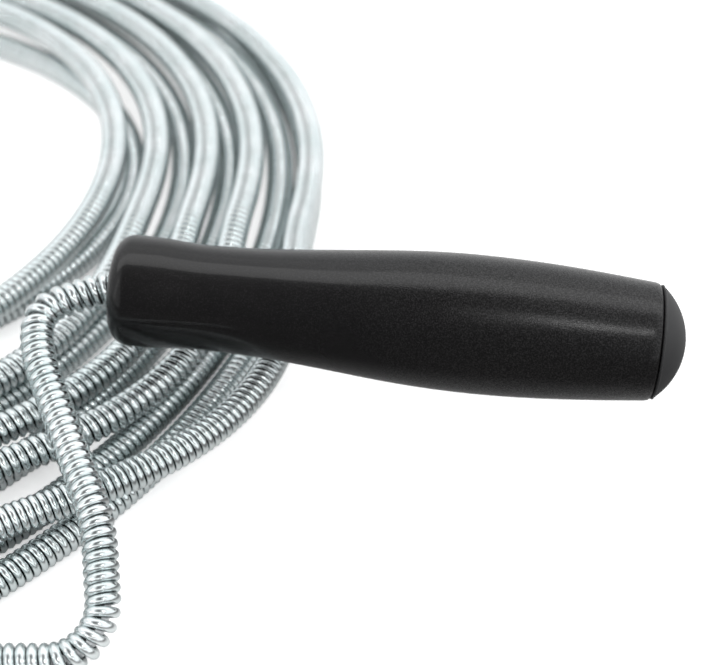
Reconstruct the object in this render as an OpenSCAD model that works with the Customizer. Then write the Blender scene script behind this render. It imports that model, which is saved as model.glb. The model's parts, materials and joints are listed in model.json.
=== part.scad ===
// Drain auger: a close-wound spring cable laid up as a hank, with a crank that is bent
// from the end of the cable over a steel rod, and a plastic grip that spins on the rod.
// Frame: +Z up, floor at Z = 0, origin on the floor in the middle of the hank.
// The crank lies to the front right of the hank and the grip points along +X.

/* [Cable] */
// Outside diameter of the coiled cable
cable_d = 9; // [8.9:0.05:9]
// Bore of the coiled cable
cable_bore_d = 4.5; // [4.4:0.05:4.6]
// Height of the cable centre in the upper layer of the hank
upper_z = 13.6; // [13.6:0.05:13.8]
// Lift of the cable where the ties pass under it
tie_lift = 1.4; // [1.35:0.05:1.5]

/* [Hank loops] */
// Radius of each upper loop to the right, outside to inside
upper_right = [199, 179.5, 165, 148.5, 134.5];
// Radius of each upper loop to the front
upper_front = [204, 185, 175, 160, 128];
// Radius of each upper loop to the rear
upper_rear = [168, 158.5, 149, 134, 124.5];
// Outward bulge of each upper loop to the front right, below the grip
upper_bulge = [16.5, 12, 9, 5, 0];
// Radius of each lower loop to the right, inside to outside
lower_right = [140, 157, 172, 188.8, 198.2];
// Radius of each lower loop to the front
lower_front = [104, 158, 186, 206, 221];
// Radius of each lower loop to the rear
lower_rear = [111, 150, 164, 180, 190];
// Radius of the innermost strand to the left, where the ties are
left_inner = 138; // [137:0.5:139]
// Spacing of the strands to the left
left_pitch = 9.3; // [9.3:0.02:9.4]
// Radius at which the run from the crank joins the hank, to the front
lead_front = 224; // [223.5:0.5:226]

/* [Crank] */
// Middle of the face of the grip's lip
lip_centre = [149.367, -97.602, 38.502];
// Distance from the lip to the first bend of the crank
mouth_offset = 3; // [2.8:0.1:3.4]
// Corners of the crank after the first: head of the arm, neck, elbow, corner of the leg
crank_corners = [[129.9, -104.4, 36.9], [130.5, -117.3, 33], [151.7, -165.9, 19.5],
                 [155.4, -195.5, 4.6]];
// Centre-line radius of each bend, from the grip to the leg
bend_radii = [14, 8.5, 40, 50, 13];
// Length of the leg from its corner to the flexible run
leg_len = 29; // [27:0.5:31]
// Diameter of the steel rod inside the crank
rod_d = 4; // [3.8:0.05:4]

/* [Grip] */
// Yaw of the grip's axis about +Z
grip_yaw = -5.75; // [-6.5:0.25:-5]
// Drop of the grip's axis below the level
grip_drop = 2.6; // [2:0.2:3]
// Length of the grip without its end cap
shell_len = 144; // [143:0.5:148]
// Radius of the lip
lip_r = 14.9; // [14.6:0.1:15.4]
// Radius of the waist
waist_r = 14.05; // [13.8:0.05:14.3]
// Radius of the belly
belly_r = 18.5; // [18:0.1:19.5]
// Radius at the end cap
end_r = 15.6; // [15.5:0.1:16.2]
// Height of the end cap's dome
dome_h = 7.6; // [6.5:0.1:9]

/* [Free end] */
// Length of the bulb-shaped boring head
head_len = 46; // [42:1:50]
// Largest radius of the boring head
head_r = 9; // [8:0.25:9]

/* [Hidden] */

$fn = 96;
eps = 0.05;
cable_r = cable_d / 2;
rod_r = rod_d / 2;
lower_z = cable_r;
loops = len(upper_right);

// Number of straight pieces in a quarter loop, and of sides round a solid cable
quarter_steps = 10;
bulge_steps = 18;
cable_sides = 8;
bend_sides = 12;

// Stations along the grip's axis, from the face of the lip
mouth_r = cable_r + 0.7;
mouth_len = 9;
coil_end = 7;
washer_t = 1.5;
seat_r = 8;
front_bush_z = 10;
front_bush_len = 10;
tube_z = coil_end + washer_t + 3 * eps;
tube_r = 4;
cavity_r = 10.4;
rear_seat_z = 105;
rear_seat_r = 12.5;
rear_bush_len = 10;
rear_bush_z = rear_seat_z + eps;
tube_end = rear_bush_z + rear_bush_len + 0.3;
nut_z = tube_end + 3;
nut_h = 5;
nut_af = 7;
rod_end = nut_z + nut_h + 2;
running_gap = 0.06;

// ---------------------------------------------------------------- vectors and paths
function unit(v) = v / norm(v);
function smooth(t) = t * t * (3 - 2 * t);
function mix(a, b, t) = a + (b - a) * t;

// Cubic Bezier curve through its first and last points
function bezier(p, t) =
    pow(1 - t, 3) * p[0] + 3 * t * pow(1 - t, 2) * p[1]
    + 3 * t * t * (1 - t) * p[2] + pow(t, 3) * p[3];

// Unit vector at n quarter turns clockwise from +X, seen from above
function compass(n) = [cos(90 * n), -sin(90 * n), 0];

// Stations of the hank, one per quarter turn: [quarter, radius, height]
function left_radius(n) = left_inner + left_pitch * n;
upper_stations = [for (k = [0 : loops - 1]) each [
    [2, left_radius(loops - k), upper_z + tie_lift],
    [3, upper_rear[k], upper_z],
    [0, upper_right[k], upper_z],
    [1, upper_front[k], upper_z]]];
lower_stations = [for (k = [0 : loops - 1]) each [
    [2, left_radius(k), (k == 0 ? upper_z : lower_z) + tie_lift],
    [3, lower_rear[k], lower_z],
    [0, lower_right[k], lower_z],
    [1, lower_front[k], lower_z]]];
stations = concat([[1, lead_front, upper_z]], upper_stations, lower_stations,
                  [[2, left_radius(loops), lower_z + tie_lift]]);

// Bulge of the quarter loop that starts at station j, and its share at a point of the quarter
bulge_from = 8;
bulge_to = 56;
function bulge(j) =
    let (loop = (j - 3) / 4)
    stations[j][0] == 0 && loop < loops ? upper_bulge[loop] : 0;
function bulge_share(t) =
    let (u = max(0, min(1, (90 * t - bulge_from) / (bulge_to - bulge_from))))
    pow(sin(180 * u), 2);

// Quarter of an ellipse from one station to the next, with its bulge
function quarter_point(j, t) =
    let (a = stations[j], b = stations[j + 1],
         flat = compass(a[0]) * a[1] * cos(90 * t) + compass(b[0]) * b[1] * sin(90 * t))
    flat + unit(flat) * bulge(j) * bulge_share(t) + [0, 0, mix(a[2], b[2], smooth(t))];
hank_path = concat(
    [for (j = [0 : len(stations) - 2])
        let (steps = bulge(j) > 0 ? bulge_steps : quarter_steps)
        for (i = [0 : steps - 1])
            quarter_point(j, i / steps)],
    [quarter_point(len(stations) - 2, 1)]);

// Run from the crank's leg to the hank, climbing over the outermost lower strand
leg_corner = crank_corners[len(crank_corners) - 1];
leg_dir = [-1, 0, 0];
leg_end = leg_corner + leg_dir * leg_len;
end_gap = 0.6;
lead_points = [leg_end + leg_dir * 3, leg_end + leg_dir * 40, [45, -lead_front, 0],
               [4, -lead_front, 0]];
lead_steps = 24;
climb_share = 0.31;
function lead_point(t) =
    let (p = bezier(lead_points, t))
    [p[0], p[1], mix(leg_corner[2], upper_z, smooth(min(1, t / climb_share)))];
lead_path = concat([leg_end + leg_dir * end_gap],
                   [for (i = [0 : lead_steps]) lead_point(i / lead_steps)],
                   [[end_gap, -lead_front, upper_z]]);

// Run from the hank to the boring head, straight under the outermost upper loop at first
head_base = [-204, 88, head_r];
head_dir = unit([-0.26, 1, 0]);
tail_straight = 24;
tail_start = [-left_radius(loops), end_gap, lower_z + tie_lift];
tail_bend = [tail_start[0], tail_straight, tail_start[2]];
tail_points = [tail_bend, tail_bend + [0, 20, 0], head_base - head_dir * 26, head_base];
tail_steps = 14;
tail_path = concat([tail_start], [for (i = [0 : tail_steps]) bezier(tail_points, i / tail_steps)]);

// Arc that rounds a corner between unit vectors u (coming from) and v (going to)
function corner_arc(corner, u, v, r, steps) =
    let (half = acos(u * v) / 2, mid = unit(u + v), centre = corner + mid * r / sin(half),
         from = unit(corner + u * r / tan(half) - centre), across = unit(v - u))
    [for (i = [0 : steps])
        let (a = (180 - 2 * half) * i / steps)
        centre + r * (from * cos(a) + unit(across - (across * from) * from) * sin(a))];

// Centre line of the crank, from the grip to the end of the leg
grip_dir = [cos(grip_drop) * cos(grip_yaw), cos(grip_drop) * sin(grip_yaw), -sin(grip_drop)];
crank_points = concat([lip_centre + grip_dir * 10, lip_centre - grip_dir * mouth_offset],
                      crank_corners, [leg_end]);
bend_steps = [4, 12, 5, 5, 14];
bends = [for (i = [1 : len(crank_points) - 2])
    let (c = crank_points[i], u = unit(crank_points[i - 1] - c), v = unit(crank_points[i + 1] - c))
    each corner_arc(c, u, v, bend_radii[i - 1], bend_steps[i - 1])];
function crank_path(first, last) =
    concat([lip_centre + grip_dir * first], bends, [leg_corner + leg_dir * last]);

// ---------------------------------------------------------------- sweeps
// Frame of a path at point i: its sideways and upward directions
function along(p, i) = unit(p[min(i + 1, len(p) - 1)] - p[max(i - 1, 0)]);
function side(p, i) = unit(cross([0, 0, 1], along(p, i)));
function up(p, i) = cross(along(p, i), side(p, i));

// Ring of points round a path, with a flat side at the bottom
function ring(p, i, r, n) =
    [for (k = [0 : n - 1])
        let (a = 360 * (k + 0.5) / n)
        p[i] + r * (side(p, i) * sin(a) - up(p, i) * cos(a))];
function skin(from, rings, n, flip) =
    [for (i = [0 : rings - 2], k = [0 : n - 1])
        let (a = from + i * n + k, b = from + i * n + (k + 1) % n)
        each flip ? [[a, b, b + n], [a, b + n, a + n]] : [[b, a, b + n], [b + n, a, a + n]]];

// Solid rod of n flats, each flat at distance r from the path
module swept_rod(path, r, n) {
    rings = len(path);
    points = [for (i = [0 : rings - 1]) each ring(path, i, r / cos(180 / n), n)];
    faces = concat(skin(0, rings, n, false),
                   [[for (k = [0 : n - 1]) k]],
                   [[for (k = [n - 1 : -1 : 0]) (rings - 1) * n + k]]);
    polyhedron(points = points, faces = faces, convexity = 20);
}

// Tube of n flats with its bore left open at both ends
module swept_tube(path, r, bore_r, n) {
    rings = len(path);
    inner = rings * n;
    last = (rings - 1) * n;
    points = concat([for (i = [0 : rings - 1]) each ring(path, i, r, n)],
                    [for (i = [0 : rings - 1]) each ring(path, i, bore_r, n)]);
    near_end = [for (k = [0 : n - 1]) let (m = (k + 1) % n)
        each [[k, m, inner + m], [k, inner + m, inner + k]]];
    far_end = [for (k = [0 : n - 1]) let (m = (k + 1) % n)
        each [[last + m, last + k, inner + last + m],
              [inner + last + m, last + k, inner + last + k]]];
    faces = concat(skin(0, rings, n, false), skin(inner, rings, n, true), near_end, far_end);
    polyhedron(points = points, faces = faces, convexity = 20);
}

// ---------------------------------------------------------------- placing
// Local +Z runs along the grip's axis, from the face of the lip
module on_grip(z) {
    translate(lip_centre)
        rotate([0, 90 + grip_drop, grip_yaw])
            translate([0, 0, z])
                children();
}
module washer(r, hole_r, t) {
    difference() {
        cylinder(r = r, h = t);
        translate([0, 0, -1])
            cylinder(r = hole_r, h = t + 2);
    }
}

// ---------------------------------------------------------------- cable
module cable_hank() {
    color("silver")
        swept_rod(hank_path, cable_r, cable_sides);
}
module lead_cable() {
    color("silver")
        swept_rod(lead_path, cable_r - eps, cable_sides);
}
module head_cable() {
    color("silver")
        swept_rod(tail_path, cable_r - eps, cable_sides);
}
// Coils opened out into a bulb, drawn as the bulb's envelope
module boring_head() {
    neck_r = cable_r - eps;
    tip_r = 4.2;
    steps = 24;
    shift = 0.3;
    function bulb_r(t) = mix(neck_r, tip_r, t) + (head_r - mix(neck_r, tip_r, 0.45))
                         * pow(sin(180 * pow(t, 0.9)), 1.2);
    color("silver")
        translate(head_base + head_dir * shift)
            rotate([0, 90, atan2(head_dir[1], head_dir[0])])
                rotate_extrude()
                    polygon(concat([[0, 0]],
                        [for (i = [0 : steps]) [min(head_r, bulb_r(i / steps)), head_len * i / steps]],
                        [[0, head_len]]));
}

// Two cable ties round all the strands on the left of the hank
module hank_ties() {
    color("whitesmoke")
        for (y = [-30, 14])
            translate([0, y, 0])
                tie();
}
module rounded_block(x0, x1, z0, z1, r) {
    translate([x0 + r, z0])
        square([x1 - x0 - 2 * r, z1 - z0]);
    translate([x0, z0 + r])
        square([x1 - x0, z1 - z0 - 2 * r]);
    for (x = [x0 + r, x1 - r], z = [z0 + r, z1 - r])
        translate([x, z])
            circle(r = r);
}
module tie() {
    strap_w = 4.8;
    strap_t = 1.1;
    x_out = -left_radius(loops) - cable_r - 0.9;
    x_in = -left_inner * 0.95 + cable_r + 1.9;
    z_low = 0.15 + strap_t;
    z_high = upper_z + tie_lift + cable_r + 0.5;
    corner = 4;
    lock = [7.5, 7, 5.5];
    tail = [16, 3.6, 1];
    rotate([90, 0, 0])
        linear_extrude(height = strap_w, center = true)
            difference() {
                rounded_block(x_out - strap_t, x_in + strap_t, z_low - strap_t,
                              z_high + strap_t, corner + strap_t);
                rounded_block(x_out, x_in, z_low, z_high, corner);
            }
    translate([x_in - 14, -lock[1] / 2, z_high])
        cube(lock);
    translate([x_in - 14 - tail[0], -tail[1] / 2, z_high + 2.6])
        cube(tail + [1, 0, 0]);
}

// ---------------------------------------------------------------- crank
module crank_coil() {
    color("silver")
        swept_tube(crank_path(coil_end, leg_len), cable_r, cable_bore_d / 2, bend_sides);
}
module crank_rod() {
    straight_from = coil_end - 3;
    foot = leg_len - 10;
    color("dimgray") {
        swept_rod(crank_path(straight_from + 1, foot), rod_r - 0.1, cable_sides);
        on_grip(straight_from)
            cylinder(r = rod_r, h = rod_end - straight_from);
    }
}
// Plug crimped into the bore of the coil below the foot of the rod
module rod_anchor() {
    anchor_len = 8;
    color("gray")
        translate(leg_corner + leg_dir * (leg_len - 9))
            rotate([0, 90, atan2(leg_dir[1], leg_dir[0])])
                cylinder(r = cable_bore_d / 2 - 0.15, h = anchor_len);
}
module thrust_washer() {
    color("gainsboro")
        on_grip(coil_end + eps)
            washer(mouth_r + 1.4, rod_r + 0.1, washer_t);
}
module axle_tube() {
    color("darkgray")
        on_grip(tube_z)
            washer(tube_r, rod_r + 0.1, tube_end - tube_z);
}
module retaining_washer() {
    color("gainsboro")
        on_grip(tube_end + eps)
            washer(9, rod_r + 0.1, 1.5);
}
module spring_washer() {
    color("dimgray")
        on_grip(tube_end + 1.5 + 2 * eps)
            washer(3.8, rod_r + 0.1, 1.2);
}
module lock_nut() {
    insert_h = 1.6;
    insert_r = 2.8;
    color("silver")
        on_grip(nut_z)
            difference() {
                cylinder(r = nut_af / 2 / cos(30), h = nut_h, $fn = 6);
                translate([0, 0, -1])
                    cylinder(r = rod_r + eps, h = nut_h + 2);
                translate([0, 0, nut_h - insert_h])
                    cylinder(r = insert_r, h = insert_h + 1);
            }
}
module nut_insert() {
    insert_h = 1.5;
    color("royalblue")
        on_grip(nut_z + nut_h - insert_h)
            washer(2.75, rod_r + 0.02, insert_h);
}

// ---------------------------------------------------------------- grip
// Outline of the grip: radius at a distance from the lip
function grip_r(z) =
    z < waist_z ? waist_r + (lip_r - waist_r) * (1 + cos(180 * (z - lip_z) / (waist_z - lip_z))) / 2
    : z < belly_z ? waist_r + (belly_r - waist_r) * (1 - cos(180 * (z - waist_z) / (belly_z - waist_z))) / 2
    : belly_r - (belly_r - end_r) * (1 - cos(90 * (z - belly_z) / (shell_len - belly_z)));
lip_z = 8;
waist_z = 24;
belly_z = 96;
lip_round = 5;
seam_round = 0.8;
spigot_r = rear_seat_r;
module grip_shell() {
    lip_arc = [for (a = [-90 : 11.25 : 0])
        [lip_r - lip_round + lip_round * cos(a), lip_round + lip_round * sin(a)]];
    body = [for (z = [lip_z : 4 : shell_len - 4]) [grip_r(z), z]];
    seam_arc = [for (a = [0 : 22.5 : 90])
        [end_r - seam_round + seam_round * cos(a), shell_len - seam_round + seam_round * sin(a)]];
    bore = [[spigot_r, shell_len], [spigot_r, rear_seat_z], [cavity_r, rear_seat_z],
            [cavity_r, front_bush_z + front_bush_len], [seat_r, front_bush_z + front_bush_len],
            [seat_r, mouth_len - 2.5], [mouth_r, mouth_len - 2.5], [mouth_r, 0.6],
            [mouth_r + 0.6, 0]];
    color([0.09, 0.09, 0.1])
        on_grip(0)
            rotate_extrude()
                polygon(concat(lip_arc, body, seam_arc, bore));
}
// Domed cap with a hollow spigot and a snap ridge
module end_cap() {
    gap = 0.25;
    rim_r = end_r - 0.35;
    wall = 2.2;
    spigot_len = 9;
    dome_r = (rim_r * rim_r + dome_h * dome_h) / (2 * dome_h);
    dome_angle = asin(rim_r / dome_r);
    dome = [for (i = [0 : 10])
        let (a = dome_angle * (1 - i / 10))
        [dome_r * sin(a), gap + 0.6 + dome_r * (cos(a) - cos(dome_angle))]];
    color([0.2, 0.2, 0.21])
        on_grip(shell_len)
            rotate_extrude()
                polygon(concat([[rim_r, gap]], dome,
                    [[0, gap + 3], [spigot_r - wall, gap + 3 - wall], [spigot_r - wall, -spigot_len],
                     [spigot_r - 0.1, -spigot_len], [spigot_r - 0.1, gap]]));
}
module front_bush() {
    color("ivory")
        on_grip(front_bush_z)
            washer(seat_r - 0.02, tube_r + running_gap, front_bush_len);
}
module rear_bush() {
    color("ivory")
        on_grip(rear_bush_z)
            washer(rear_seat_r - 0.02, tube_r + running_gap, rear_bush_len);
}

cable_hank();
hank_ties();
lead_cable();
crank_coil();
crank_rod();
rod_anchor();
thrust_washer();
axle_tube();
retaining_washer();
spring_washer();
lock_nut();
nut_insert();
grip_shell();
end_cap();
front_bush();
rear_bush();
head_cable();
boring_head();
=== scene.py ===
"""Looks of the drain auger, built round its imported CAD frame.

The cable is wound as a real helix of round wire along the centre line that the CAD solids follow.
Lengths are in metres unless a name ends in _mm. Axes are the frame's: +Z up, floor at Z = 0.
"""
import json
import math

import bpy
import numpy as np
from mathutils import Matrix, Vector


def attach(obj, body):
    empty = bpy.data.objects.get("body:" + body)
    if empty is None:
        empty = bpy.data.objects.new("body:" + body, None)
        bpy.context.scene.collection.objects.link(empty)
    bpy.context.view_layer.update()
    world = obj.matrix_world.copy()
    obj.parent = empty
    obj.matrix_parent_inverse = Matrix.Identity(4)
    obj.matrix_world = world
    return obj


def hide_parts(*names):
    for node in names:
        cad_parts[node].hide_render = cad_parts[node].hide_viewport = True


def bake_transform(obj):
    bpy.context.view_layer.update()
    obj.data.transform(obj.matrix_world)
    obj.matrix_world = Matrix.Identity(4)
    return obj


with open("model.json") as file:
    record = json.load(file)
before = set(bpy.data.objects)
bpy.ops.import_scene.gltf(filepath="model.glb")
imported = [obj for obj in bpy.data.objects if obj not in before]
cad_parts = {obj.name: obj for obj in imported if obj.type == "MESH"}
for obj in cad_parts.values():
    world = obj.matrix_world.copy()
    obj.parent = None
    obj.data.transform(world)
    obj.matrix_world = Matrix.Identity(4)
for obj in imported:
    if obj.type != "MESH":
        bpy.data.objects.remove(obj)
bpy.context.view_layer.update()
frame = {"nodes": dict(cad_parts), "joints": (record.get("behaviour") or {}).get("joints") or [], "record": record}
JOINTS = {j["name"]: j for j in frame["joints"]}
MM = 0.001

# ------------------------------------------------------------------ driving dimensions
# Cable
COIL_R_MM = 4.5
WIRE_R_MM = 1.12
WIRE_R_MOST_MM = 1.32
WIRE_SHARE = 0.487
PITCH_MM = 2.3
LOOP_PITCH_MM = (2.06, 2.48, 2.4, 2.3, 2.25, 2.2, 2.25, 2.25, 2.2, 2.3)
MEAN_R_MM = COIL_R_MM - WIRE_R_MM
CRANK_PITCH_MM = 2.7
BEND_FAN = 0.4
LOWER_Z_MM = 4.55
UPPER_Z_MM = 13.6
TIE_LIFT_MM = 1.4

# Radius of each loop of the hank where it crosses the four axes, as in the CAD source
UPPER_RIGHT = (199, 179.5, 165, 148.5, 134.5)
UPPER_FRONT = (204, 185, 175, 160, 128)
UPPER_REAR = (168, 158.5, 149, 134, 124.5)
UPPER_BULGE = (16.5, 12, 9, 5, 0)
LOWER_RIGHT = (140, 157, 172, 188.8, 198.2)
LOWER_FRONT = (104, 158, 186, 206, 221)
LOWER_REAR = (111, 150, 164, 180, 190)
BULGE_FROM_DEG = 8
BULGE_TO_DEG = 56
LEFT_INNER_MM = 138
LEFT_PITCH_MM = 9.3
LEAD_FRONT_MM = 224
LOOPS = len(UPPER_RIGHT)

# Crank
MOUTH_OFFSET_MM = 3
CRANK_CORNERS = np.array([[129.9, -104.4, 36.9], [130.5, -117.3, 33], [151.7, -165.9, 19.5], [155.4, -195.5, 4.6]])
BEND_RADII_MM = (14, 8.5, 40, 50, 13)
LEG_CORNER = CRANK_CORNERS[-1]
LEG_LEN_MM = 29
COIL_END_MM = 7

# Grip outline, along its axis from the face of the lip
SHELL_LEN_MM = 144
LIP_R_MM = 14.9
LIP_Z_MM = 8
LIP_ROUND_MM = 5
WAIST_R_MM = 14.05
WAIST_Z_MM = 24
BELLY_R_MM = 18.5
BELLY_Z_MM = 96
END_R_MM = 15.6
DOME_H_MM = 7.6
MOUTH_R_MM = 5.2

# Free end
HEAD_BASE = np.array([-204.0, 88.0, 9.0])
HEAD_DIR = np.array([-0.26, 1.0, 0.0]) / math.hypot(0.26, 1.0)
HEAD_LEN_MM = 46
HEAD_R_MM = 9

# Camera
CAMERA_ELEVATION = math.radians(40)
CAMERA_DISTANCE = 0.455
CAMERA_LENS_MM = 79.3
CAMERA_FSTOP = 13
AIM_FROM_LIP = Vector((0.0656, 0.0156, -0.0285))

# Light
ROOM_DIM = 0.20
ROOM_BRIGHT = 0.96
LEFT_BRIGHT = 0.95
RIGHT_BRIGHT = 1.2
EVEN_LIGHT = 1.4

# Drawn wire: how far the draw lines are stretched, and how dark the painted shade in the grooves between turns is.
# A groove spans from its floor to its rim, given as the cosine of the angle from the coil's outside.
LINE_STRETCH = 0.03
GROOVE_SHADE = 0.18
CRANK_GROOVE_SHADE = 0.55
HEAD_GROOVE_SHADE = 0.7
GROOVE_FLOOR = 0.05
GROOVE_RIM = 0.42

# Where the grip's grain sets in and where it is full, along X in metres
GRAIN_SPAN = (0.19, 0.25)


# ------------------------------------------------------------------ paths
def smooth(t):
    """Eases from 0 to 1."""
    t = np.clip(t, 0, 1)
    return t * t * (3 - 2 * t)


def unit(v):
    return v / np.linalg.norm(v, axis=-1, keepdims=True)


def compass(quarter):
    """Unit vector at that many quarter turns clockwise from +X, seen from above."""
    a = -math.pi / 2 * quarter
    return np.array([math.cos(a), math.sin(a), 0.0])


def left_radius(n):
    return LEFT_INNER_MM + LEFT_PITCH_MM * n


def hank_stations():
    """One (quarter, radius, height) for each quarter turn of the hank, from the crank's end on."""
    stations = [(1, LEAD_FRONT_MM, UPPER_Z_MM)]
    for k in range(LOOPS):
        stations += [(2, left_radius(LOOPS - k), UPPER_Z_MM + TIE_LIFT_MM), (3, UPPER_REAR[k], UPPER_Z_MM),
                     (0, UPPER_RIGHT[k], UPPER_Z_MM), (1, UPPER_FRONT[k], UPPER_Z_MM)]
    for k in range(LOOPS):
        first_z = UPPER_Z_MM if k == 0 else LOWER_Z_MM
        stations += [(2, left_radius(k), first_z + TIE_LIFT_MM), (3, LOWER_REAR[k], LOWER_Z_MM),
                     (0, LOWER_RIGHT[k], LOWER_Z_MM), (1, LOWER_FRONT[k], LOWER_Z_MM)]
    return stations + [(2, left_radius(LOOPS), LOWER_Z_MM + TIE_LIFT_MM)]


def hank_path(steps=150):
    """Quarter ellipses from station to station, in millimetres; some bulge to the front right."""
    stations = hank_stations()
    t = np.linspace(0, 1, steps, endpoint=False)[:, None]
    share = np.clip((90 * t - BULGE_FROM_DEG) / (BULGE_TO_DEG - BULGE_FROM_DEG), 0, 1)
    swell = np.sin(math.pi * share) ** 2
    parts = []
    for n, ((qa, ra, za), (qb, rb, zb)) in enumerate(zip(stations, stations[1:])):
        flat = compass(qa) * ra * np.cos(math.pi / 2 * t) + compass(qb) * rb * np.sin(math.pi / 2 * t)
        if qa == 0 and n // 4 < LOOPS:
            flat = flat + unit(flat) * UPPER_BULGE[n // 4] * swell
        parts.append(flat + np.array([0, 0, 1]) * (za + (zb - za) * smooth(t)))
    q, r, z = stations[-1]
    parts.append((compass(q) * r + np.array([0, 0, z]))[None, :])
    return np.concatenate(parts)


def bezier(points, steps):
    t = np.linspace(0, 1, steps)[:, None]
    a, b, c, d = points
    return (1 - t) ** 3 * a + 3 * t * (1 - t) ** 2 * b + 3 * t * t * (1 - t) * c + t ** 3 * d


def lead_path(steps=240):
    """From the crank's leg to the hank, climbing over the outermost lower strand."""
    climb_share = 0.31
    start = LEG_CORNER + LEG_DIR * LEG_LEN_MM
    path = bezier((start + LEG_DIR * 3, start + LEG_DIR * 40, np.array([45, -LEAD_FRONT_MM, 0]),
                   np.array([4, -LEAD_FRONT_MM, 0])), steps)
    climb = smooth(np.linspace(0, 1, steps) / climb_share)
    path[:, 2] = LEG_CORNER[2] + (UPPER_Z_MM - LEG_CORNER[2]) * climb
    return resample(np.concatenate([start[None, :], path, [[0, -LEAD_FRONT_MM, UPPER_Z_MM]]]), 0.4)


def tail_path(steps=160):
    """From the hank to the boring head, straight at first, then swinging out."""
    start = np.array([-left_radius(LOOPS), 0.0, LOWER_Z_MM + TIE_LIFT_MM])
    bend = start + np.array([0, 24, 0])
    curve = bezier((bend, bend + np.array([0, 20, 0]), HEAD_BASE - HEAD_DIR * 26, HEAD_BASE), steps)
    return resample(np.concatenate([start[None, :], curve]), 0.4)


def corner_arc(corner, u, v, radius, steps):
    """Arc that rounds a corner between unit vectors u (coming from) and v (going to)."""
    half = math.acos(float(u @ v)) / 2
    centre = corner + unit(u + v) * radius / math.sin(half)
    start = unit(corner + u * radius / math.tan(half) - centre)
    across = (v - u) - ((v - u) @ start) * start
    a = np.linspace(0, math.pi - 2 * half, steps)[:, None]
    return centre + radius * (start * np.cos(a) + unit(across) * np.sin(a))


def crank_path():
    """From inside the grip's mouth, round the bends, to the end of the leg."""
    mouth = LIP_CENTRE - GRIP_DIR * MOUTH_OFFSET_MM
    leg_end = LEG_CORNER + LEG_DIR * LEG_LEN_MM
    points = [LIP_CENTRE + GRIP_DIR * COIL_END_MM, mouth, *CRANK_CORNERS, leg_end]
    key = [points[0][None, :]]
    for before, corner, after, radius in zip(points, points[1:], points[2:], BEND_RADII_MM):
        key.append(corner_arc(corner, unit(before - corner), unit(after - corner), radius, 60))
    return resample(np.concatenate(key + [leg_end[None, :]]), 0.4)


def resample(path, step):
    """The same path with points at an even spacing."""
    s = arc_length(path)
    at = np.linspace(0, s[-1], int(s[-1] / step) + 1)
    return np.stack([np.interp(at, s, path[:, i]) for i in range(3)], axis=1)


def arc_length(path):
    return np.concatenate([[0], np.cumsum(np.linalg.norm(np.diff(path, axis=0), axis=1))])


# The two directions that the crank shares with its joints
GRIP_DIR = unit(np.array(JOINTS["grip_spin"]["axis"], float))
LEG_DIR = -unit(np.array(JOINTS["crank_turn"]["axis"], float))
LIP_CENTRE = np.array(JOINTS["grip_spin"]["pos_m"], float) / MM


# ------------------------------------------------------------------ meshes
def link(name, mesh):
    obj = bpy.data.objects.new(name, mesh)
    bpy.context.scene.collection.objects.link(obj)
    return obj


def raw_mesh(name, points, faces_by_size):
    """Mesh from an (n, 3) array in metres and a list of (m, k) arrays of corner numbers."""
    mesh = bpy.data.meshes.new(name)
    mesh.vertices.add(len(points))
    mesh.vertices.foreach_set("co", points.astype(np.float32).ravel())
    loops = np.concatenate([f.ravel() for f in faces_by_size]).astype(np.int32)
    sizes = np.concatenate([np.full(len(f), f.shape[1]) for f in faces_by_size]).astype(np.int32)
    mesh.loops.add(len(loops))
    mesh.loops.foreach_set("vertex_index", loops)
    mesh.polygons.add(len(sizes))
    mesh.polygons.foreach_set("loop_start", (np.cumsum(sizes) - sizes).astype(np.int32))
    mesh.polygons.foreach_set("use_smooth", np.ones(len(sizes), bool))
    mesh.update()
    mesh.validate()
    return mesh


def tube_mesh(name, rings):
    """Closed tube through rings of points, an (n, sides, 3) array, with flat ends."""
    n, sides = rings.shape[:2]
    i = np.arange(n - 1)[:, None] * sides
    k = np.arange(sides)[None, :]
    a, b = i + k, i + (k + 1) % sides
    quads = np.stack([a, b, b + sides, a + sides], axis=-1).reshape(-1, 4)
    ends = np.stack([np.arange(sides)[::-1], (n - 1) * sides + np.arange(sides)])
    return raw_mesh(name, rings.reshape(-1, 3), [quads, ends])


def lathe_mesh(name, profile, segments, origin, axis, wobble=None):
    """Closed solid of revolution of a closed (radius, distance) outline, in millimetres."""
    axis = unit(np.asarray(axis, float))
    u = unit(np.cross(axis, [0, 0, 1]))
    v = np.cross(axis, u)
    a = np.linspace(0, 2 * math.pi, segments, endpoint=False)
    profile = np.asarray(profile, float)
    radius = np.repeat(profile[:, 0][:, None], segments, axis=1)
    if wobble is not None:
        radius = radius + wobble(profile[:, 1][:, None], a[None, :]) * (profile[:, 0] > MOUTH_R_MM + 6)[:, None]
    radial = np.cos(a)[:, None] * u + np.sin(a)[:, None] * v
    points = origin + radius[:, :, None] * radial[None, :, :] + profile[:, 1][:, None, None] * axis
    n = len(profile)
    i = np.arange(n)[:, None]
    k = np.arange(segments)[None, :]
    nxt = (i + 1) % n
    quads = np.stack([i * segments + k, i * segments + (k + 1) % segments,
                      nxt * segments + (k + 1) % segments, nxt * segments + k], axis=-1).reshape(-1, 4)
    return raw_mesh(name, points.reshape(-1, 3) * MM, [quads])


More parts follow.
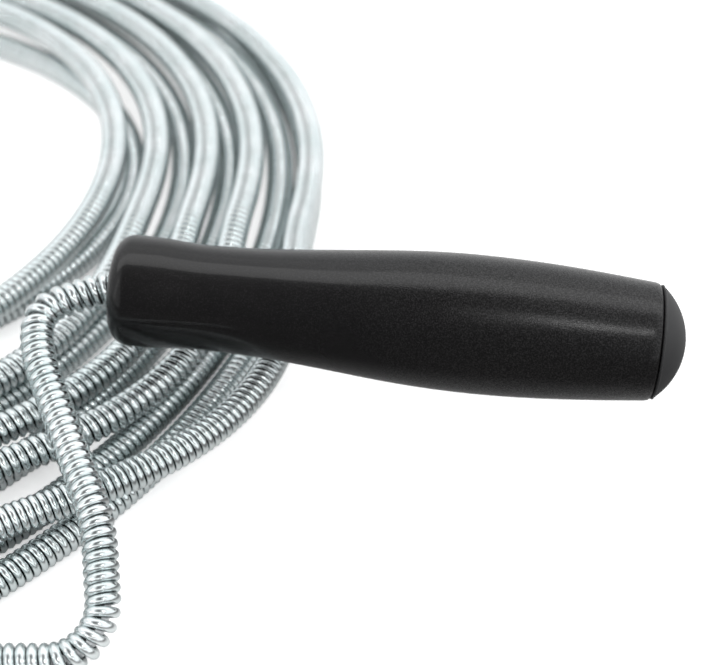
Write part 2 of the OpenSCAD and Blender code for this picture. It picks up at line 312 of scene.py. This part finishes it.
# ------------------------------------------------------------------ wound wire
def wind(path, turn_steps, start_turn=0.0, mean_r=None, pitch=None, seed=1):
    """Helix along a path: its points, radial directions, wire radii and its phase in turns.

    Turns all but touch, and fan out a little on the outside of a bend."""
    s = arc_length(path)
    tangent = unit(np.gradient(path, s, axis=0))
    side = unit(np.cross([0, 0, 1], tangent))
    up = np.cross(tangent, side)
    curvature = np.linalg.norm(np.gradient(tangent, s, axis=0), axis=1)
    window = max(3, int(5 / (s[-1] / len(s))) | 1)
    pad = np.pad(curvature, window // 2, mode="edge")
    curvature = np.convolve(pad, np.ones(window) / window, mode="valid")
    gap = np.full(len(s), PITCH_MM) if pitch is None else pitch(s / s[-1])
    wire = np.full(len(s), WIRE_R_MM) if mean_r else np.minimum(gap * WIRE_SHARE, WIRE_R_MOST_MM)
    radius = mean_r(s / s[-1]) if mean_r else COIL_R_MM - wire
    rng = np.random.default_rng(seed)
    uneven = 1 + 0.012 * np.sin(s / 17 + rng.uniform(0, 6)) + 0.008 * np.sin(s / 5.3 + rng.uniform(0, 6))
    local_pitch = gap * uneven / np.clip(1 - BEND_FAN * curvature * radius, 0.3, 1)
    turns = np.concatenate([[0], np.cumsum(np.diff(s) * 2 / (local_pitch[1:] + local_pitch[:-1]))])
    count = max(8, int(turns[-1] * turn_steps))
    phase = np.linspace(0, turns[-1], count + 1)
    at = np.interp(phase, turns, s)

    def sample(values):
        return np.stack([np.interp(at, s, values[:, i]) for i in range(3)], axis=1)

    angle = 2 * math.pi * (phase + start_turn)[:, None]
    radial = np.cos(angle) * sample(side) + np.sin(angle) * sample(up)
    r = np.interp(at, s, radius)[:, None]
    return sample(path) + radial * r, radial, np.interp(at, s, wire), start_turn + turns[-1]


def wire_rings(centres, radial, sides, radius):
    """Rings of points round a wire whose centre line and outward directions are given."""
    tangent = unit(np.gradient(centres, axis=0))
    out = unit(radial - np.sum(radial * tangent, axis=1, keepdims=True) * tangent)
    across = np.cross(tangent, out)
    a = np.linspace(0, 2 * math.pi, sides, endpoint=False)[None, :, None]
    spokes = np.cos(a) * out[:, None, :] + np.sin(a) * across[:, None, :]
    return centres[:, None, :] + radius[:, None, None] * spokes


def mark_wire(mesh, centres, sides, groove):
    """Stores where each point lies round and along the wire, and how much painted shade darkens it in the groove."""
    a = np.linspace(0, 2 * math.pi, sides, endpoint=False)
    # Painted shade: the base colour is darkened towards the floor of each groove between turns, down to the share
    # given by groove.
    open_share = np.clip((np.cos(a) - GROOVE_FLOOR) / (GROOVE_RIM - GROOVE_FLOOR), 0, 1)
    tone = np.tile((groove + (1 - groove) * open_share).astype(np.float32), len(centres))
    mesh.attributes.new("wire_groove_shade", "FLOAT", "POINT").data.foreach_set("value", tone)
    marks = np.zeros((len(centres), sides, 3), np.float32)
    marks[:, :, 0] = np.cos(a)
    marks[:, :, 1] = np.sin(a)
    marks[:, :, 2] = arc_length(centres)[:, None] * LINE_STRETCH
    mesh.attributes.new("wire_round", "FLOAT_VECTOR", "POINT").data.foreach_set("vector", marks.ravel())


# groove is the share of the base colour that the painted shade leaves at the floor of a groove.
def wound_piece(name, path, turn_steps, sides, start_turn=0.0, seed=1, groove=GROOVE_SHADE, **shape):
    centres, radial, wire, end_turn = wind(path, turn_steps, start_turn, seed=seed, **shape)
    obj = link(name, tube_mesh(name, wire_rings(centres, radial, sides, wire) * MM))
    mark_wire(obj.data, centres, sides, groove)
    return obj, end_turn


# ------------------------------------------------------------------ materials
def new_material(name):
    mat = bpy.data.materials.new(name)
    mat.use_nodes = True
    tree = mat.node_tree
    return mat, tree, tree.nodes["Principled BSDF"]


def add_noise(tree, scale, detail=3.0, roughness=0.5, stretch=None):
    coords = tree.nodes.new("ShaderNodeTexCoord")
    noise = tree.nodes.new("ShaderNodeTexNoise")
    noise.inputs["Scale"].default_value = scale
    noise.inputs["Detail"].default_value = detail
    noise.inputs["Roughness"].default_value = roughness
    if stretch is None:
        tree.links.new(coords.outputs["Object"], noise.inputs["Vector"])
    else:
        mapping = tree.nodes.new("ShaderNodeMapping")
        mapping.inputs["Scale"].default_value = stretch
        tree.links.new(coords.outputs["Object"], mapping.inputs["Vector"])
        tree.links.new(mapping.outputs["Vector"], noise.inputs["Vector"])
    return noise


def add_ramp(tree, value, stops):
    """Colour ramp through (position, colour) stops."""
    ramp = tree.nodes.new("ShaderNodeValToRGB")
    elements = ramp.color_ramp.elements
    while len(elements) < len(stops):
        elements.new(0.5)
    for element, (position, colour) in zip(elements, stops):
        element.position = position
        element.color = (*colour, 1)
    tree.links.new(value, ramp.inputs["Fac"])
    return ramp.outputs["Color"]


def add_range(tree, value, low, high, from_low=0.3, from_high=0.7):
    node = tree.nodes.new("ShaderNodeMapRange")
    node.inputs["From Min"].default_value = from_low
    node.inputs["From Max"].default_value = from_high
    node.inputs["To Min"].default_value = low
    node.inputs["To Max"].default_value = high
    tree.links.new(value, node.inputs["Value"])
    return node.outputs["Result"]


def add_math(tree, operation, a, b):
    node = tree.nodes.new("ShaderNodeMath")
    node.operation = operation
    for value, socket in zip((a, b), node.inputs):
        if isinstance(value, bpy.types.NodeSocket):
            tree.links.new(value, socket)
        else:
            socket.default_value = value
    return node.outputs["Value"]


def add_scaled(tree, colour, amount):
    node = tree.nodes.new("ShaderNodeVectorMath")
    node.operation = "SCALE"
    tree.links.new(colour, node.inputs[0])
    tree.links.new(amount, node.inputs["Scale"])
    return node.outputs["Vector"]


def add_bump(tree, shader, heights, target="Normal"):
    """Chain of bumps from (height socket, strength, depth in metres)."""
    normal = None
    for height, strength, depth in heights:
        bump = tree.nodes.new("ShaderNodeBump")
        if isinstance(strength, bpy.types.NodeSocket):
            tree.links.new(strength, bump.inputs["Strength"])
        else:
            bump.inputs["Strength"].default_value = strength
        bump.inputs["Distance"].default_value = depth
        tree.links.new(height, bump.inputs["Height"])
        if normal is not None:
            tree.links.new(normal, bump.inputs["Normal"])
        normal = bump.outputs["Normal"]
    tree.links.new(normal, shader.inputs[target])


def metal(name, dark, light, rough, grain_scale=900.0, grain=0.25):
    """Plated or drawn steel: cloudy tone, uneven polish and a fine drawn grain."""
    mat, tree, shader = new_material(name)
    cloud = add_noise(tree, 60, detail=4)
    grit = add_noise(tree, grain_scale, detail=4, roughness=0.6)
    shader.inputs["Metallic"].default_value = 1.0
    tree.links.new(add_ramp(tree, cloud.outputs["Fac"], [(0.3, dark), (0.7, light)]), shader.inputs["Base Color"])
    tree.links.new(add_range(tree, grit.outputs["Fac"], rough[0], rough[1]), shader.inputs["Roughness"])
    add_bump(tree, shader, [(grit.outputs["Fac"], grain, 0.00004), (cloud.outputs["Fac"], 0.1, 0.0002)])
    return mat


def zinc():
    """Zinc-plated drawn wire: cloudy tone, draw lines along the wire, painted shade in the grooves between turns."""
    mat, tree, shader = new_material("zinc_wire")
    place = tree.nodes.new("ShaderNodeAttribute")
    place.attribute_name = "wire_round"
    groove_shade = tree.nodes.new("ShaderNodeAttribute")
    groove_shade.attribute_name = "wire_groove_shade"
    cloud = add_noise(tree, 60, detail=4)
    lines = add_noise(tree, 4.5, detail=3, roughness=0.65)
    tree.links.new(place.outputs["Vector"], lines.inputs["Vector"])
    tone = add_ramp(tree, cloud.outputs["Fac"], [(0.3, (0.72, 0.79, 0.79)), (0.7, (0.86, 0.90, 0.905))])
    shader.inputs["Metallic"].default_value = 1.0
    # Painted shade: the base colour is scaled down by the groove shade stored on each point.
    tree.links.new(add_scaled(tree, tone, groove_shade.outputs["Fac"]), shader.inputs["Base Color"])
    tree.links.new(add_range(tree, lines.outputs["Fac"], 0.10, 0.24), shader.inputs["Roughness"])
    add_bump(tree, shader, [(lines.outputs["Fac"], 0.35, 0.00006), (cloud.outputs["Fac"], 0.1, 0.0002)])
    return mat


def grip_plastic():
    """Black vinyl sleeve: a fine sparkling grain, partly painted as lighter flecks, under a smooth, slightly rippled
    gloss.
    """
    mat, tree, shader = new_material("grip_plastic")
    cloud = add_noise(tree, 35, detail=3)
    grit = add_noise(tree, 2600, detail=3, roughness=0.6)
    ripple = add_noise(tree, 85, detail=2)
    tone = add_ramp(tree, cloud.outputs["Fac"], [(0.35, (0.003, 0.0027, 0.003)), (0.65, (0.0046, 0.0042, 0.0044))])
    # Lighter flecks at the fine grain: painted glints in the base colour that stand in for the grain's sparkle.
    fleck_glint = add_range(tree, grit.outputs["Fac"], 0.7, 3.2, 0.5, 0.75)
    tree.links.new(add_scaled(tree, tone, fleck_glint), shader.inputs["Base Color"])
    tree.links.new(add_range(tree, cloud.outputs["Fac"], 0.26, 0.34), shader.inputs["Roughness"])
    shader.inputs["Coat Weight"].default_value = 0.42
    coords = tree.nodes.new("ShaderNodeTexCoord")
    split = tree.nodes.new("ShaderNodeSeparateXYZ")
    tree.links.new(coords.outputs["Object"], split.inputs["Vector"])
    along = split.outputs["X"]
    tree.links.new(add_range(tree, along, 0.06, 0.17, *GRAIN_SPAN), shader.inputs["Coat Roughness"])
    coat_grain = add_range(tree, along, 0.1, 0.9, *GRAIN_SPAN)
    sparkle = add_math(tree, "MULTIPLY", add_range(tree, grit.outputs["Fac"], -0.5, 1.0, 0.42, 0.62),
                       add_range(tree, along, 0.0, 0.15, *GRAIN_SPAN))
    tree.links.new(add_math(tree, "ADD", 0.13, sparkle), shader.inputs["Specular IOR Level"])
    add_bump(tree, shader, [(grit.outputs["Fac"], 1.0, 0.00010)])
    add_bump(tree, shader, [(ripple.outputs["Fac"], 0.4, 0.0003), (grit.outputs["Fac"], coat_grain, 0.00003)],
             "Coat Normal")
    return mat


def plastic(name, dark, light, rough, grain_scale, grain, grain_depth=0.00003, coat=0.0):
    """Moulded plastic: faint tone change, uneven gloss, a fine mould grain and slow ripples."""
    mat, tree, shader = new_material(name)
    cloud = add_noise(tree, 35, detail=3)
    grit = add_noise(tree, grain_scale, detail=3, roughness=0.6)
    ripple = add_noise(tree, 90, detail=2)
    tree.links.new(add_ramp(tree, cloud.outputs["Fac"], [(0.35, dark), (0.65, light)]), shader.inputs["Base Color"])
    tree.links.new(add_range(tree, cloud.outputs["Fac"], rough[0], rough[1]), shader.inputs["Roughness"])
    shader.inputs["Coat Weight"].default_value = coat
    shader.inputs["Coat Roughness"].default_value = 0.12
    add_bump(tree, shader, [(grit.outputs["Fac"], grain, grain_depth), (ripple.outputs["Fac"], 0.12, 0.0003)])
    return mat


def paint(obj, mat):
    if obj.material_slots:
        for entry in obj.material_slots:
            entry.material = mat
    else:
        obj.data.materials.append(mat)
    return obj


# ------------------------------------------------------------------ cable pieces
def build_hank(mat):
    """The hank, wound in one run and cut into a piece for each loop."""
    path = hank_path()
    steps_per_loop = 4 * 150
    turn = 0.0
    pieces = []
    cuts = list(range(0, len(path) - 1, steps_per_loop)) + [len(path) - 1]
    if cuts[-1] - cuts[-2] < steps_per_loop / 2:
        cuts.pop(-2)
    for n, (a, b) in enumerate(zip(cuts, cuts[1:])):
        piece, turn = wound_piece(f"hank_loop_{n + 1:02d}", path[a:b + 1], 14, 7, turn, seed=n + 10,
                                  pitch=lambda t: np.interp(n + t, np.arange(LOOPS * 2) + 0.9, LOOP_PITCH_MM))
        paint(piece, mat)
        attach(piece, "root")
        if n == 0:
            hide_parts("cable_hank")
        pieces.append(piece)
    return pieces


def build_lead(mat):
    """Flexible run between the crank and the hank."""
    path = lead_path()
    piece, _ = wound_piece("lead_coil", path, 20, 9, seed=3)
    paint(piece, mat)
    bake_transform(piece)
    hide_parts("lead_cable")
    return piece


def build_crank_coil(mat):
    piece, _ = wound_piece("crank_coil_wire", crank_path(), 28, 12, seed=4, groove=CRANK_GROOVE_SHADE,
                           pitch=lambda t: CRANK_PITCH_MM + 0.25 * smooth(1 - t / 0.3))
    paint(piece, mat)
    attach(piece, "crank")
    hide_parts("crank_coil")
    return piece


def build_tail(mat):
    """Flexible run to the boring head."""
    path = tail_path()
    piece, _ = wound_piece("tail_coil", path, 18, 8, seed=5)
    paint(piece, mat)
    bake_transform(piece)
    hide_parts("head_cable")
    return piece


def build_head(mat):
    """The end of the coil opened out into a bulb and drawn in again at the tip."""
    steps = 400
    path = HEAD_BASE + HEAD_DIR * np.linspace(0, HEAD_LEN_MM - 1.5, steps)[:, None]

    def mean_r(t):
        bulge = np.sin(np.pi * np.clip(t, 0, 1) ** 0.9) ** 1.2
        return MEAN_R_MM + (HEAD_R_MM - COIL_R_MM) * bulge - 0.4 * t

    def pitch(t):
        return PITCH_MM + 1.7 * smooth(t / 0.35) - 0.9 * smooth((t - 0.75) / 0.25)

    piece, _ = wound_piece("boring_head_wire", path, 32, 12, seed=6, groove=HEAD_GROOVE_SHADE,
                           mean_r=mean_r, pitch=pitch)
    paint(piece, mat)
    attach(piece, "head")
    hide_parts("boring_head")
    return piece


# ------------------------------------------------------------------ grip pieces
def grip_radius(z):
    """Outline of the sleeve: lip, waist, belly and end."""
    lip = WAIST_R_MM + (LIP_R_MM - WAIST_R_MM) * (1 + np.cos(np.pi * (z - LIP_Z_MM) / (WAIST_Z_MM - LIP_Z_MM))) / 2
    belly = WAIST_R_MM + (BELLY_R_MM - WAIST_R_MM) * (
        1 - np.cos(np.pi * (z - WAIST_Z_MM) / (BELLY_Z_MM - WAIST_Z_MM))) / 2
    end = BELLY_R_MM - (BELLY_R_MM - END_R_MM) * (
        1 - np.cos(np.pi / 2 * (z - BELLY_Z_MM) / (SHELL_LEN_MM - BELLY_Z_MM)))
    return np.where(z < WAIST_Z_MM, lip, np.where(z < BELLY_Z_MM, belly, end))


def arc_points(centre_r, centre_z, radius, start, stop, steps):
    a = np.radians(np.linspace(start, stop, steps))
    return np.stack([centre_r + radius * np.cos(a), centre_z + radius * np.sin(a)], axis=1)


def shell_wobble(z, a):
    """Slow unevenness of a moulded skin, in millimetres."""
    return (0.035 * np.sin(2 * a + z / 23) + 0.02 * np.sin(5 * a - z / 9.5)
            + 0.02 * np.sin(z / 6.1 + 3 * a)) * np.sin(np.pi * np.clip(z / SHELL_LEN_MM, 0, 1))


def build_shell(mat):
    seam = 0.9
    lip = arc_points(LIP_R_MM - LIP_ROUND_MM, LIP_ROUND_MM, LIP_ROUND_MM, -90, -2, 16)
    z = np.linspace(LIP_ROUND_MM + 0.4, SHELL_LEN_MM - seam - 0.4, 110)
    body = np.stack([np.where(z < LIP_Z_MM, LIP_R_MM, grip_radius(z)), z], axis=1)
    edge = arc_points(END_R_MM - seam, SHELL_LEN_MM - seam, seam, 0, 90, 7)
    bore = np.array([[12.5, SHELL_LEN_MM], [12.5, 105], [10.4, 105], [10.4, 20], [8, 20],
                     [8, 6.5], [MOUTH_R_MM, 6.5], [MOUTH_R_MM, 0.8], [MOUTH_R_MM + 0.25, 0.25],
                     [MOUTH_R_MM + 0.8, 0]])
    profile = np.concatenate([lip, body, edge, bore])
    obj = link("grip_sleeve", lathe_mesh("grip_sleeve", profile, 160, LIP_CENTRE, GRIP_DIR, shell_wobble))
    paint(obj, mat)
    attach(obj, "grip")
    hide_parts("grip_shell")
    obj.data.set_sharp_from_angle(angle=math.radians(50))
    return obj


def build_cap(mat):
    rim = END_R_MM - 0.35
    round_r = 0.8
    ball = (rim ** 2 + DOME_H_MM ** 2) / (2 * DOME_H_MM)
    half = math.asin((rim - round_r * 0.55) / ball)
    a = np.linspace(half, 0.002, 40)
    base = 0.45
    dome = np.stack([ball * np.sin(a), base + DOME_H_MM - ball * (1 - np.cos(a))], axis=1)
    rim_edge = np.array([[rim - 0.5, base - 0.2], [rim - 0.12, base], [rim, base + 0.35]])
    inside = np.array([[0.03, 3.2], [10.3, 1.05], [10.3, -9], [12.0, -9], [12.4, -8.4], [12.4, base - 0.2]])
    profile = np.concatenate([rim_edge, dome, inside])
    origin = LIP_CENTRE + GRIP_DIR * SHELL_LEN_MM
    obj = link("grip_cap", lathe_mesh("grip_cap", profile, 128, origin, GRIP_DIR))
    paint(obj, mat)
    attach(obj, "grip")
    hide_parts("end_cap")
    obj.data.set_sharp_from_angle(angle=math.radians(50))
    return obj


# ------------------------------------------------------------------ stage
def build_floor():
    """Plain white sheet, with painted shade that makes it look dim in reflections other than those close by or far
    back.
    """
    half = 6.0
    mesh = bpy.data.meshes.new("floor")
    mesh.from_pydata([(-half, -half, 0), (half, -half, 0), (half, half, 0), (-half, half, 0)], [], [(0, 1, 2, 3)])
    floor = link("floor", mesh)
    floor.location.z = -0.0002
    mat, tree, shader = new_material("floor_white")
    ray = tree.nodes.new("ShaderNodeLightPath")
    coords = tree.nodes.new("ShaderNodeTexCoord")
    split = tree.nodes.new("ShaderNodeSeparateXYZ")
    tree.links.new(coords.outputs["Object"], split.inputs["Vector"])
    # Painted shade seen only in reflections: the floor colour for glossy rays is dim in front, lighter far back and
    # close to the reflecting surface.
    far = add_range(tree, split.outputs["Y"], 0.18, 0.75, -0.12, -0.05)
    close = add_range(tree, ray.outputs["Ray Length"], 0.80, 0.0, 0.012, 0.05)
    reflected_shade = add_math(tree, "MAXIMUM", far, close)
    mix = tree.nodes.new("ShaderNodeMix")
    tree.links.new(ray.outputs["Is Glossy Ray"], mix.inputs["Factor"])
    mix.inputs["A"].default_value = 0.93
    tree.links.new(reflected_shade, mix.inputs["B"])
    tree.links.new(mix.outputs["Result"], shader.inputs["Base Color"])
    shader.inputs["Emission Color"].default_value = (1, 1, 1, 1)
    tree.links.new(add_math(tree, "MULTIPLY", ray.outputs["Is Camera Ray"], 0.50), shader.inputs["Emission Strength"])
    shader.inputs["Roughness"].default_value = 1.0
    shader.inputs["Specular IOR Level"].default_value = 0.0
    mesh.materials.append(mat)


def build_world():
    """Even for the floor; in reflections bright behind and to both sides, dim round the camera."""
    world = bpy.data.worlds.new("studio")
    bpy.context.scene.world = world
    world.use_nodes = True
    tree = world.node_tree
    tree.nodes.clear()
    coords = tree.nodes.new("ShaderNodeTexCoord")
    split = tree.nodes.new("ShaderNodeSeparateXYZ")
    tree.links.new(coords.outputs["Generated"], split.inputs["Vector"])
    behind = add_range(tree, split.outputs["Y"], ROOM_DIM, ROOM_BRIGHT, -0.05, 0.25)
    left = add_range(tree, split.outputs["X"], LEFT_BRIGHT, ROOM_DIM, -0.56, -0.38)
    right = add_range(tree, split.outputs["X"], ROOM_DIM, RIGHT_BRIGHT, 0.15, 0.58)
    glow = add_math(tree, "MAXIMUM", behind, add_math(tree, "MAXIMUM", left, right))
    room = tree.nodes.new("ShaderNodeBackground")
    tree.links.new(glow, room.inputs["Strength"])
    room.inputs["Color"].default_value = (0.97, 0.985, 1.0, 1)
    even = tree.nodes.new("ShaderNodeBackground")
    even.inputs["Strength"].default_value = EVEN_LIGHT
    ray = tree.nodes.new("ShaderNodeLightPath")
    seen = add_math(tree, "MAXIMUM", ray.outputs["Is Camera Ray"], ray.outputs["Is Diffuse Ray"])
    mix = tree.nodes.new("ShaderNodeMixShader")
    out = tree.nodes.new("ShaderNodeOutputWorld")
    tree.links.new(seen, mix.inputs["Fac"])
    tree.links.new(room.outputs["Background"], mix.inputs[1])
    tree.links.new(even.outputs["Background"], mix.inputs[2])
    tree.links.new(mix.outputs["Shader"], out.inputs["Surface"])


def add_softbox(name, place, aim, width, height, power, colour=(1, 1, 1)):
    light = bpy.data.lights.new(name, "AREA")
    light.shape = "RECTANGLE"
    light.size = width
    light.size_y = height
    light.energy = power
    light.color = colour
    obj = bpy.data.objects.new(name, light)
    obj.location = place
    obj.rotation_euler = (Vector(aim) - Vector(place)).to_track_quat("-Z", "Y").to_euler()
    bpy.context.scene.collection.objects.link(obj)
    return obj


def light_only(light, pieces):
    """Lets a light shine on those pieces alone."""
    group = bpy.data.collections.new(light.name + "_on")
    for piece in pieces:
        group.objects.link(piece)
    light.light_linking.receiver_collection = group


def build_lights(lip, grip_pieces, wire_pieces):
    """Overhead sheet from the zenith back, stronger on the grip, and a low front box for the wire."""
    sheet = lip + Vector((0.0, 0.62, 0.95))
    below_sheet = lip + Vector((0, 0.55, 0))
    add_softbox("overhead", sheet, below_sheet, 2.6, 1.15, 3.4)
    light_only(add_softbox("overhead_grip", sheet, below_sheet, 2.6, 1.15, 11), grip_pieces)
    light_only(add_softbox("overhead_front", lip + Vector((0.0, 0.30, 0.94)), lip + Vector((0, 0.27, 0)),
                           2.6, 0.5, 5.5), grip_pieces)
    light_only(add_softbox("front_wire", lip + Vector((-0.25, -1.2, 0.42)), lip, 1.5, 0.42, 2.4), wire_pieces)
    add_softbox("left_strip", lip + Vector((-0.95, -0.45, 0.55)), lip, 0.25, 0.9, 0.6)
    grip_end = lip + Vector((0.13, -0.01, 0))
    add_softbox("glint", grip_end + Vector((0.29, -0.70, 0.96)), grip_end, 0.16, 0.10, 0.75)
    add_softbox("sheen", grip_end + Vector((0.21, -0.72, 1.02)), grip_end, 0.50, 0.45, 0.75)


def build_camera(lip):
    camera = bpy.data.cameras.new("camera")
    camera.lens = CAMERA_LENS_MM
    camera.sensor_width = 36
    camera.clip_start = 0.01
    obj = bpy.data.objects.new("camera", camera)
    bpy.context.scene.collection.objects.link(obj)
    aim = lip + AIM_FROM_LIP
    back = Vector((0, -math.cos(CAMERA_ELEVATION), math.sin(CAMERA_ELEVATION)))
    obj.location = aim + back * CAMERA_DISTANCE
    obj.rotation_euler = (-back).to_track_quat("-Z", "Y").to_euler()
    focus = bpy.data.objects.new("focus", None)
    focus.location = lip + Vector((0.0, -0.04, 0.0))
    bpy.context.scene.collection.objects.link(focus)
    camera.dof.use_dof = True
    camera.dof.focus_object = focus
    camera.dof.aperture_fstop = CAMERA_FSTOP
    bpy.context.scene.camera = obj


# ------------------------------------------------------------------ build
def paint_cad_nodes():
    """The parts inside the grip and the ties keep their CAD shape."""
    rod = metal("rod_steel", (0.50, 0.52, 0.53), (0.62, 0.64, 0.65), (0.25, 0.4))
    washer = metal("plated_steel", (0.6, 0.6, 0.6), (0.74, 0.74, 0.73), (0.2, 0.35))
    nylon = plastic("bush_nylon", (0.66, 0.64, 0.56), (0.74, 0.72, 0.65), (0.4, 0.5), 1200, 0.2)
    insert = plastic("insert_nylon", (0.02, 0.08, 0.36), (0.03, 0.1, 0.42), (0.4, 0.5), 1200, 0.2)
    tie = plastic("tie_nylon", (0.74, 0.74, 0.71), (0.82, 0.82, 0.8), (0.35, 0.45), 900, 0.2)
    finishes = {"rod_steel": rod, "washer_steel": washer, "bush_nylon": nylon, "insert_nylon": insert,
                "tie_nylon": tie}
    for part in frame["record"]["subparts"]:
        mat = finishes.get(part["material_slot"])
        if mat is not None:
            paint(frame["nodes"][part["node"]], mat)


def build_all():
    bpy.context.scene.view_settings.view_transform = "Standard"
    wire = zinc()
    wire_pieces = build_hank(wire)
    wire_pieces += [build_lead(wire), build_crank_coil(wire), build_tail(wire), build_head(wire)]
    shell = build_shell(grip_plastic())
    cap = build_cap(plastic("cap_plastic", (0.013, 0.013, 0.014), (0.018, 0.018, 0.019), (0.5, 0.6), 2200, 0.3))
    paint_cad_nodes()
    lip = Vector(LIP_CENTRE * MM)
    build_floor()
    build_world()
    build_lights(lip, [shell, cap], wire_pieces)
    build_camera(lip)


build_all()
